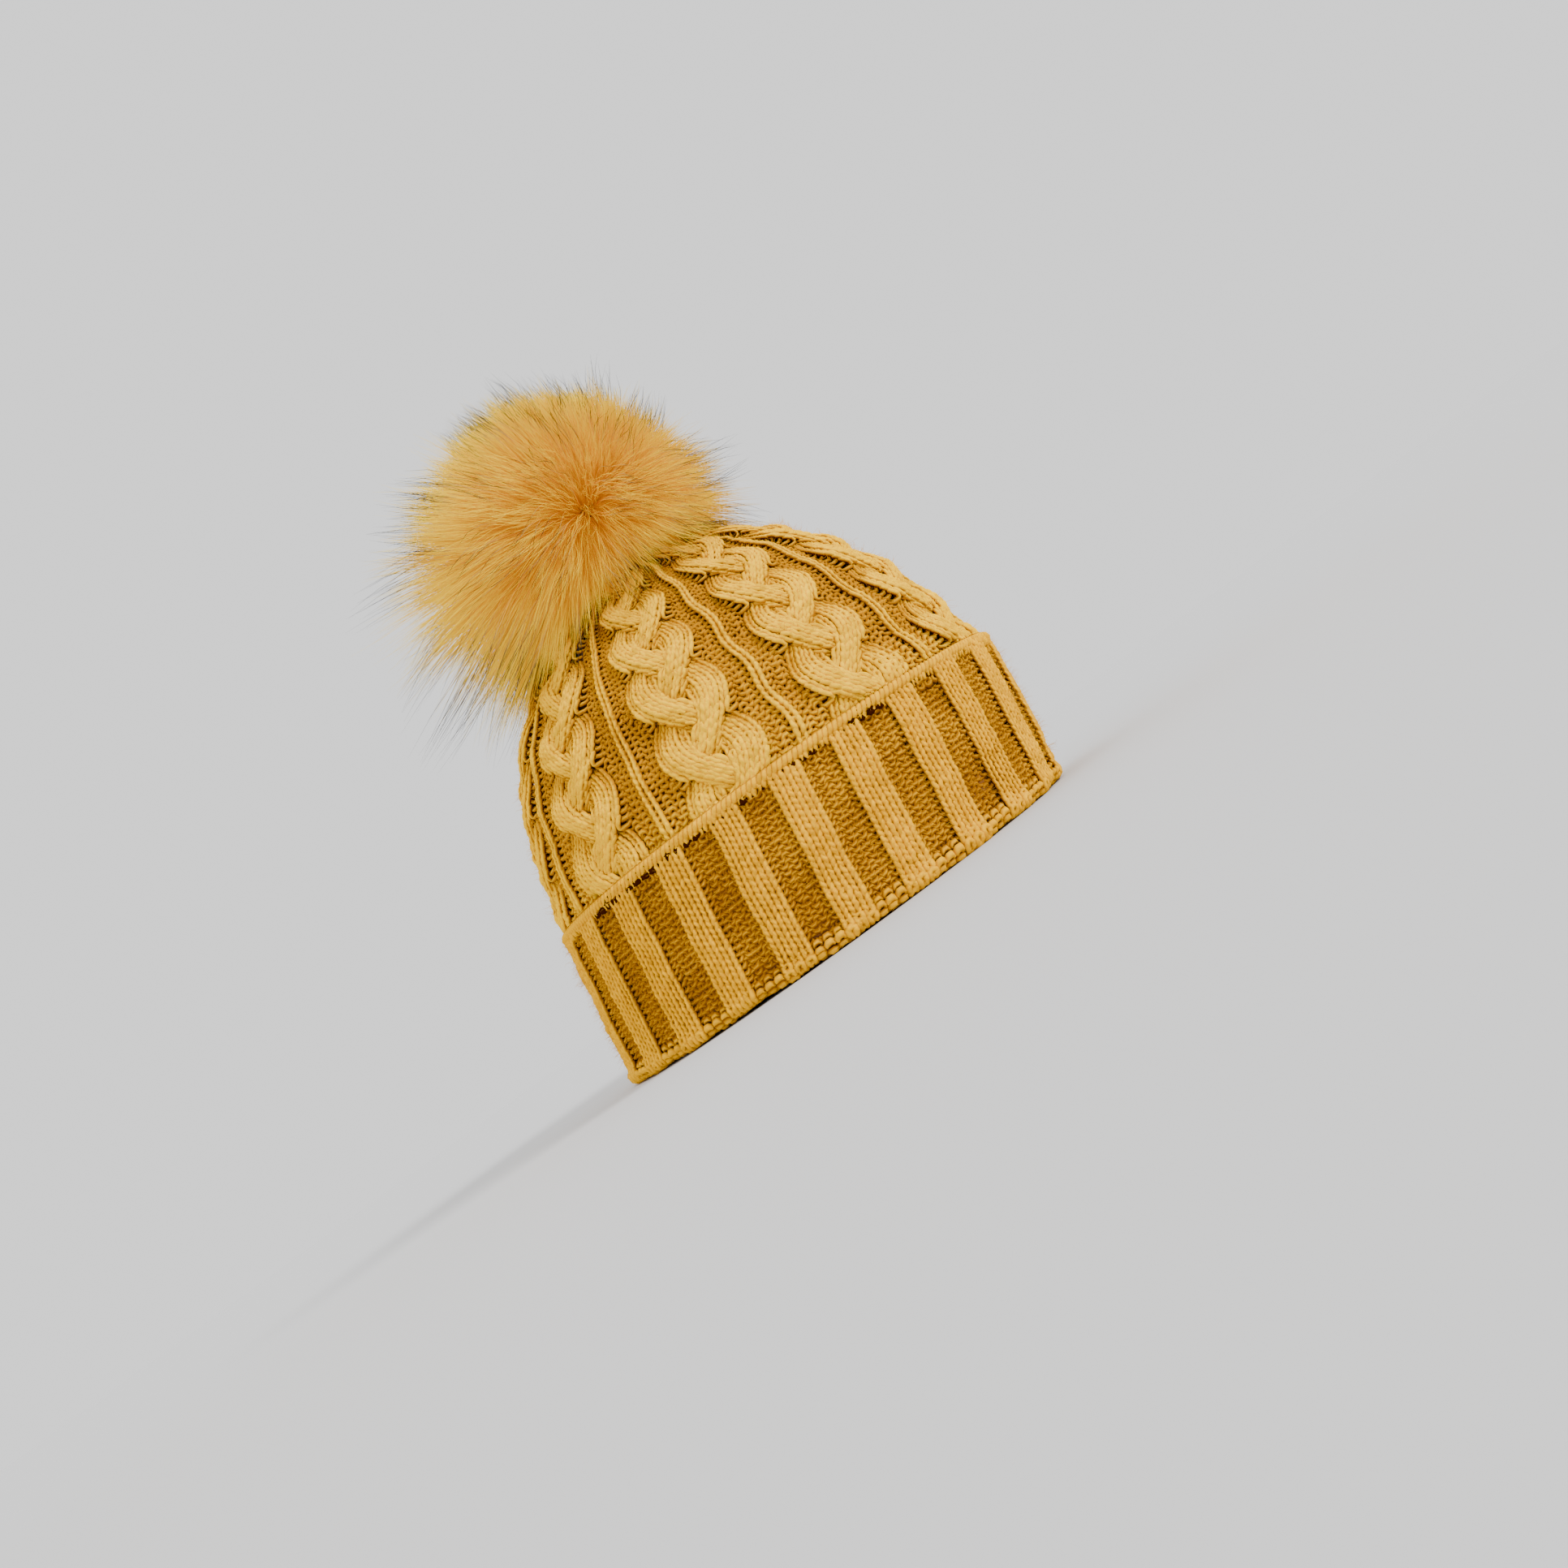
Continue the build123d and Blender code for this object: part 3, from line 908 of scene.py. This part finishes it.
def grow(count, length_share, clump_count, clumping, droop, curl, points_each=7):
    """Paths of hairs rooted on the pelt, drawn together in locks and bowed by their weight."""
    direction = spread_directions(count) + random.normal(0, 0.05, (count, 3))
    direction /= np.linalg.norm(direction, axis=1, keepdims=True)
    keep = direction[:, 2] > -0.93
    direction = direction[keep]
    root = pelt_middle + pelt_radii * direction * 0.98
    heading = combed(direction)
    clump = spread_directions(clump_count) + random.normal(0, 0.06, (clump_count, 3))
    clump /= np.linalg.norm(clump, axis=1, keepdims=True)
    nearest = np.concatenate([np.argmax(part @ clump.T, axis=1) for part in np.array_split(direction, 40)])
    clump_length = random.normal(1.0, 0.10, clump_count)[nearest]
    lock = combed(clump + random.normal(0, 0.07, (clump_count, 3)))[nearest]
    length = reach_to_envelope(root, heading) * length_share[0] * clump_length
    length *= random.uniform(length_share[1], 1.0, len(length))
    t = np.linspace(0, 1, points_each)[None, :, None]
    straight = heading[:, None] * t * (1 - clumping * t) + lock[:, None] * clumping * t**2
    path = root[:, None] + length[:, None, None] * straight
    weight = np.array([0, 0, -1.0]) * droop * (0.4 + 0.6 * (1 - np.abs(direction[:, 2:3])))
    path += (length[:, None] * weight)[:, None] * t**2
    swept_back = np.array([0, 0.12, -0.05])
    path += length[:, None, None] * swept_back * t**1.5
    wave = random.uniform(0, TURN, (len(length), 1, 1))
    sway = np.cross(heading, random.normal(0, 1, heading.shape))
    sway /= np.linalg.norm(sway, axis=1, keepdims=True) + 1e-9
    path += sway[:, None] * curl * np.sin(wave + 5.0 * t) * t
    clearance = random.uniform(0.5, 5.0, (len(length), 1)) * MM
    return over_crown(path, clearance)


def fur_pieces(name, path, radius, kinds, each=5000):
    """Splits hairs into pieces."""
    pieces = []
    shuffled = random.permutation(len(path))
    for first in range(0, len(path), each):
        part = shuffled[first : first + each]
        piece_name = f"{name}_{len(pieces) + 1}"
        pieces.append(hair_mesh(piece_name, path[part], radius[part], hair, "pompom", kinds[part]))
    return pieces


under_paths = grow(42000, (1.0, 0.62), 900, 0.34, 0.10, 1.4 * MM)
under_kinds = random.uniform(0.0, 0.85, len(under_paths))
under_radius = random.uniform(0.15, 0.26, len(under_paths)) * MM
under_pieces = fur_pieces("pompom_underfur", under_paths, under_radius, under_kinds)
guard_paths = grow(3600, (1.16, 0.80), 300, 0.40, 0.14, 2.6 * MM)
guard_kinds = random.uniform(0.3, 0.85, len(guard_paths))
guard_radius = random.uniform(0.12, 0.20, len(guard_paths)) * MM
fur_pieces("pompom_guard_hair", guard_paths, guard_radius, guard_kinds)
dark_paths = grow(3600, (1.28, 0.78), 120, 0.68, 0.12, 3.0 * MM)
dark_kinds = np.full(len(dark_paths), 0.93)
dark_radius = random.uniform(0.15, 0.24, len(dark_paths)) * MM
fur_pieces("pompom_dark_hair", dark_paths, dark_radius, dark_kinds)
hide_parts("pompom_fur")


def soft_ball(name, middle, radii, lumps, material, body, rings=48, around=96):
    """A closed, uneven ball with puckers drawn in to its lower end."""
    polar = np.linspace(0.02, math.pi - 0.02, rings)
    azimuth = TURN * np.arange(around) / around
    p, a = np.meshgrid(polar, azimuth, indexing="ij")
    uneven = lumps * (np.sin(5 * a + 3 * np.sin(2 * p)) * np.sin(4 * p) + 0.6 * np.sin(9 * a) * np.sin(7 * p))
    pucker = 2.5 * lumps * np.clip((p - 2.2) / 0.9, 0, 1) * np.cos(14 * a)
    stretch = 1 + (uneven + pucker) / radii[0]
    unit = np.stack([np.sin(p) * np.cos(a), np.sin(p) * np.sin(a), np.cos(p)], -1)
    points = middle + radii * unit * stretch[..., None]
    index = np.arange(rings * around).reshape(rings, around)
    quads = np.stack(
        [index[:-1], index[1:], np.roll(index, -1, 1)[1:], np.roll(index, -1, 1)[:-1]], -1
    ).reshape(-1, 4)
    ends = np.array([points[0].mean(0), points[-1].mean(0)])
    all_points = np.vstack([points.reshape(-1, 3), ends])
    top_point, low_point = rings * around, rings * around + 1
    first, last = index[0], index[-1]
    top_fan = np.stack([first, np.roll(first, -1), np.full(around, top_point)], -1)
    low_fan = np.stack([np.roll(last, -1), last, np.full(around, low_point)], -1)
    triangles = np.concatenate([quads[:, [0, 1, 2]], quads[:, [0, 2, 3]], top_fan, low_fan])
    uv = np.zeros((triangles.size, 2))
    uv[:, 0] = np.mod(triangles.ravel(), around) / around
    uv[:, 1] = np.clip((triangles.ravel() // around) / rings, 0, 1)
    piece = make_mesh(name, all_points, triangles, uv)
    piece.data.materials.append(material)
    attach(piece, body)
    return piece


stuffing_low, stuffing_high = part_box("pompom_stuffing")
stuffing_radii = (np.array(stuffing_high) - np.array(stuffing_low)) / 2
stuffing = soft_ball(
    "pompom_filling", pelt_middle, stuffing_radii - 0.6 * MM, 0.2 * MM, filling, "pompom"
)
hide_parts("pompom_stuffing")

# ---------------------------------------------------------------- floor and light


FLOOR_HALF = 40.0
FLOOR_BELOW = 0.1 * MM  # clear of the yarn that is pressed flat at zero
floor_mesh = bpy.data.meshes.new("floor")
floor_corners = [(-1, -1), (1, -1), (1, 1), (-1, 1)]
floor_points = [(FLOOR_HALF * x, FLOOR_HALF * y, -FLOOR_BELOW) for x, y in floor_corners]
floor_mesh.from_pydata(floor_points, [], [(0, 1, 2, 3)])
floor = bpy.data.objects.new("floor", floor_mesh)
floor_mesh.materials.append(even_material("pale_floor", (0.52, 0.52, 0.52), 0.2))
bpy.context.collection.objects.link(floor)

SKY = 1.25
world = bpy.data.worlds.new("world")
world.use_nodes = True
world.node_tree.nodes["Background"].inputs["Color"].default_value = (1, 1, 1, 1)
world.node_tree.nodes["Background"].inputs["Strength"].default_value = SKY
bpy.context.scene.world = world


def distant_light(name, comes_from, strength, spread):
    """A soft, even light from a direction, with its spread in degrees."""
    data = bpy.data.lights.new(name, "SUN")
    data.energy = strength
    data.angle = math.radians(spread)
    light = bpy.data.objects.new(name, data)
    bpy.context.collection.objects.link(light)
    light.rotation_euler = (-Vector(comes_from)).to_track_quat("-Z", "Y").to_euler()


distant_light("key", (-0.45, -0.85, 0.75), 3.2, 18)
distant_light("top", (0.1, 0.15, 1.0), 1.3, 50)
distant_light("fill", (-0.9, 0.6, 0.35), 0.5, 50)
